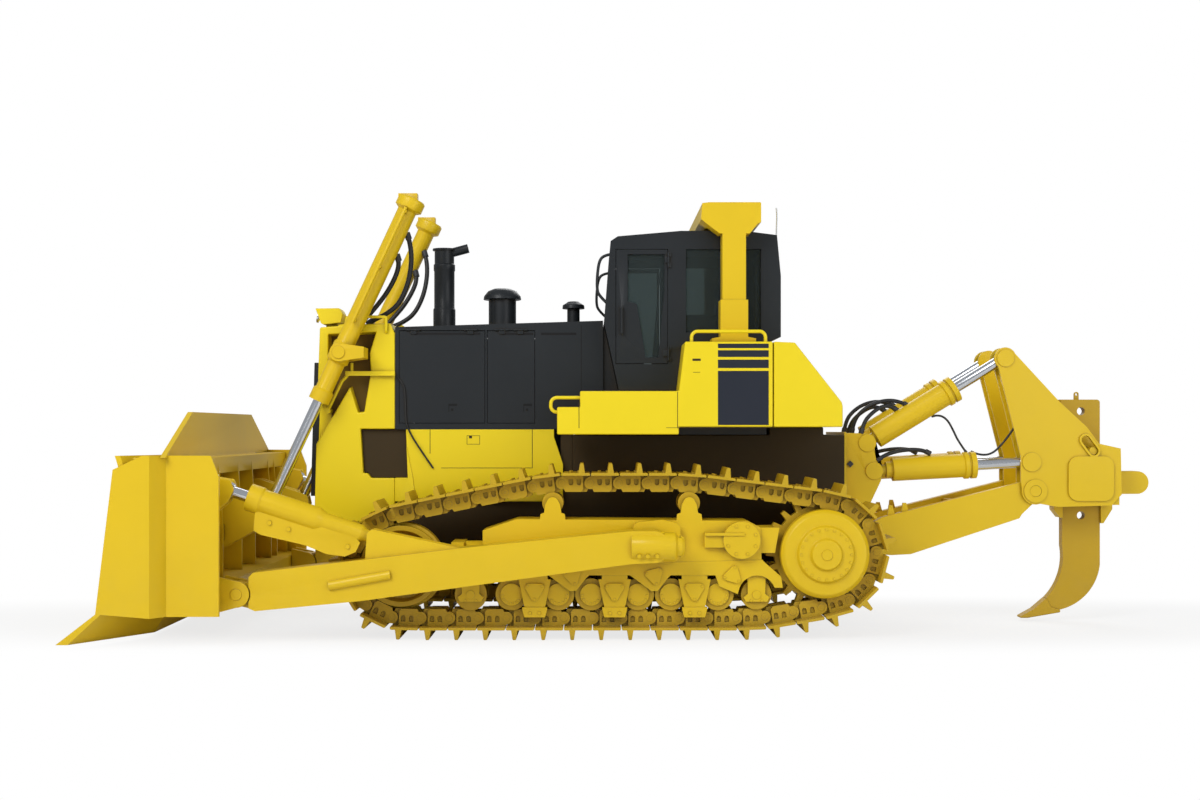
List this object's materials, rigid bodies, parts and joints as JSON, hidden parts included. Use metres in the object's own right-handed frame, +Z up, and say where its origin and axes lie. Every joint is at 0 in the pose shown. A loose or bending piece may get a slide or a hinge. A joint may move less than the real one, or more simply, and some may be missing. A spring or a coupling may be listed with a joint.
{
  "type": "crawler bulldozer",
  "caption": "Large crawler bulldozer with semi-U blade on outside push arms, hollow cab, roll-over frame and a single-shank ripper, all on real joints.",
  "frame": {"origin": "on the ground below the middle of the machine's length and width", "axes": "+Z up, -X is the way the machine faces, +Y towards its right side"},
  "size_m": [10.8138, 4.694, 4.4184],
  "materials": {
    "yellow_paint": "semi-gloss yellow paint",
    "charcoal_paint": "satin charcoal paint",
    "chrome": "hard chrome",
    "glass": "tinted glass",
    "seat_fabric": "dark woven cloth",
    "engine_iron": "plain cast iron"
  },
  "bodies": {
    "tractor": {"air_precleaner": "charcoal_paint", "bogies": "yellow_paint", "breather": "charcoal_paint", "cab_glass": "glass", "cab_platform": "charcoal_paint", "cab_shell": "charcoal_paint", "carrier_rollers": "yellow_paint", "engine_block": "engine_iron", "engine_hood": "charcoal_paint", "exhaust_stack": "charcoal_paint", "fenders": "yellow_paint", "final_drives": "yellow_paint", "front_grille": "charcoal_paint", "handrails": "yellow_paint", "head_lamps": "yellow_paint", "idlers": "yellow_paint", "lift_yokes": "yellow_paint", "lower_side_covers": "yellow_paint", "main_frame": "yellow_paint", "operator_seat": "seat_fabric", "radiator_guard": "yellow_paint", "rear_fuel_tank": "yellow_paint", "ripper_bracket": "yellow_paint", "rops": "yellow_paint", "sprockets": "yellow_paint", "track_frames": "yellow_paint", "track_rollers": "yellow_paint", "tracks": "yellow_paint"},
    "push_arms": {"push_arms": "yellow_paint"},
    "blade": {"moldboard": "yellow_paint", "cutting_edge": "yellow_paint", "blade_brackets": "yellow_paint"},
    "lift_barrels": {"lift_barrels": "yellow_paint"},
    "lift_rods": {"lift_rods": "chrome"},
    "tilt_barrels": {"tilt_barrels": "yellow_paint"},
    "tilt_rods": {"tilt_rods": "chrome"},
    "ripper_arms": {"ripper_arms": "yellow_paint"},
    "ripper_carrier_pins": {"ripper_carrier_pins": "yellow_paint"},
    "ripper_carrier": {"ripper_carrier": "yellow_paint", "ripper_shank": "yellow_paint", "ripper_tooth": "yellow_paint"},
    "ripper_tilt_barrels": {"ripper_tilt_barrels": "yellow_paint"},
    "ripper_tilt_rods": {"ripper_tilt_rods": "chrome"},
    "ripper_lift_barrels": {"ripper_lift_barrels": "yellow_paint"},
    "ripper_lift_rods": {"ripper_lift_rods": "chrome"},
    "cab_door_right": {"cab_door_right": "charcoal_paint", "cab_door_glass_right": "glass"},
    "cab_door_left": {"cab_door_left": "charcoal_paint", "cab_door_glass_left": "glass"},
    "engine_door_front_right": {"engine_door_front_right": "charcoal_paint"},
    "engine_door_front_left": {"engine_door_front_left": "charcoal_paint"},
    "engine_door_rear_right": {"engine_door_rear_right": "charcoal_paint"},
    "engine_door_rear_left": {"engine_door_rear_left": "charcoal_paint"}
  },
  "joints": [
    {"name": "blade_lift", "type": "hinge", "parent": "tractor", "child": "push_arms", "pos_m": [0.088, 0, 0.924], "axis": [0, 1, 0], "range_deg": [-7.5, 16]},
    {"name": "blade_pitch", "type": "hinge", "parent": "push_arms", "child": "blade", "pos_m": [-3.859, 0, 0.476], "axis": [0, 1, 0], "range_deg": [-5, 5]},
    {"name": "lift_barrel_swing", "type": "hinge", "parent": "tractor", "child": "lift_barrels", "pos_m": [-3.034, 0, 2.808], "axis": [0, 1, 0], "range_deg": [-7, 15]},
    {"name": "lift_rod_slide", "type": "slide", "parent": "lift_barrels", "child": "lift_rods", "axis": [-0.4219, 0, -0.9066], "range_m": [-1.03, 0.49]},
    {"name": "tilt_barrel_swing", "type": "hinge", "parent": "push_arms", "child": "tilt_barrels", "pos_m": [-2.512, 0, 0.981], "axis": [0, 1, 0], "range_deg": [-1.5, 1.5]},
    {"name": "tilt_rod_slide", "type": "slide", "parent": "tilt_barrels", "child": "tilt_rods", "axis": [-0.9505, 0, 0.3106], "range_m": [-0.08, 0.08]},
    {"name": "ripper_lift", "type": "hinge", "parent": "tractor", "child": "ripper_arms", "pos_m": [2.23, 0, 0.845], "axis": [0, -1, 0], "range_deg": [-22, 20]},
    {"name": "ripper_pin_turn", "type": "hinge", "parent": "ripper_arms", "child": "ripper_carrier_pins", "pos_m": [4.108, 0, 1.396], "axis": [0, -1, 0], "range_deg": [-13, 14]},
    {"name": "ripper_tilt", "type": "hinge", "parent": "ripper_carrier_pins", "child": "ripper_carrier", "pos_m": [4.108, 0, 1.396], "axis": [0, -1, 0], "range_deg": [-8, 8]},
    {"name": "ripper_tilt_barrel_swing", "type": "hinge", "parent": "tractor", "child": "ripper_tilt_barrels", "pos_m": [2.36, 0, 1.895], "axis": [0, -1, 0], "range_deg": [-27.5, 25]},
    {"name": "ripper_tilt_rod_slide", "type": "slide", "parent": "ripper_tilt_barrels", "child": "ripper_tilt_rods", "axis": [0.8524, 0, 0.5229], "range_m": [-0.19, 0.19]},
    {"name": "ripper_lift_barrel_swing", "type": "hinge", "parent": "tractor", "child": "ripper_lift_barrels", "pos_m": [2.432, 0, 1.606], "axis": [0, -1, 0], "range_deg": [-26, 24]},
    {"name": "ripper_lift_rod_slide", "type": "slide", "parent": "ripper_lift_barrels", "child": "ripper_lift_rods", "axis": [0.9985, 0, 0.0555], "range_m": [-0.2, 0.22]},
    {"name": "cab_door_right_swing", "type": "hinge", "parent": "tractor", "child": "cab_door_right", "pos_m": [0.27, 0.97, 3.271], "axis": [0, 0, -1], "range_deg": [0, 80]},
    {"name": "cab_door_left_swing", "type": "hinge", "parent": "tractor", "child": "cab_door_left", "pos_m": [0.27, -0.97, 3.271], "axis": [0, 0, 1], "range_deg": [0, 80]},
    {"name": "engine_door_front_right_swing", "type": "hinge", "parent": "tractor", "child": "engine_door_front_right", "pos_m": [-1.4485, 0.716, 3.052], "axis": [1, 0, 0], "range_deg": [0, 80]},
    {"name": "engine_door_front_left_swing", "type": "hinge", "parent": "tractor", "child": "engine_door_front_left", "pos_m": [-1.4485, -0.716, 3.052], "axis": [-1, 0, 0], "range_deg": [0, 80]},
    {"name": "engine_door_rear_right_swing", "type": "hinge", "parent": "tractor", "child": "engine_door_rear_right", "pos_m": [-1.4485, 0.716, 3.052], "axis": [1, 0, 0], "range_deg": [0, 80]},
    {"name": "engine_door_rear_left_swing", "type": "hinge", "parent": "tractor", "child": "engine_door_rear_left", "pos_m": [-1.4485, -0.716, 3.052], "axis": [-1, 0, 0], "range_deg": [0, 80]}
  ],
  "couplings": [
    {"joint": "lift_barrel_swing", "follows": "blade_lift", "ratio": 0.9},
    {"joint": "lift_rod_slide", "follows": "blade_lift", "m_per_rad": -3.62},
    {"joint": "tilt_barrel_swing", "follows": "blade_pitch", "ratio": 0.276},
    {"joint": "tilt_rod_slide", "follows": "blade_pitch", "m_per_rad": -0.898},
    {"joint": "ripper_pin_turn", "follows": "ripper_lift", "ratio": -0.6},
    {"joint": "ripper_tilt_barrel_swing", "follows": "ripper_lift", "ratio": 1.215},
    {"joint": "ripper_tilt_rod_slide", "follows": "ripper_tilt", "m_per_rad": -1.329},
    {"joint": "ripper_lift_barrel_swing", "follows": "ripper_lift", "ratio": 1.15},
    {"joint": "ripper_lift_rod_slide", "follows": "ripper_lift", "m_per_rad": -0.55}
  ]
}
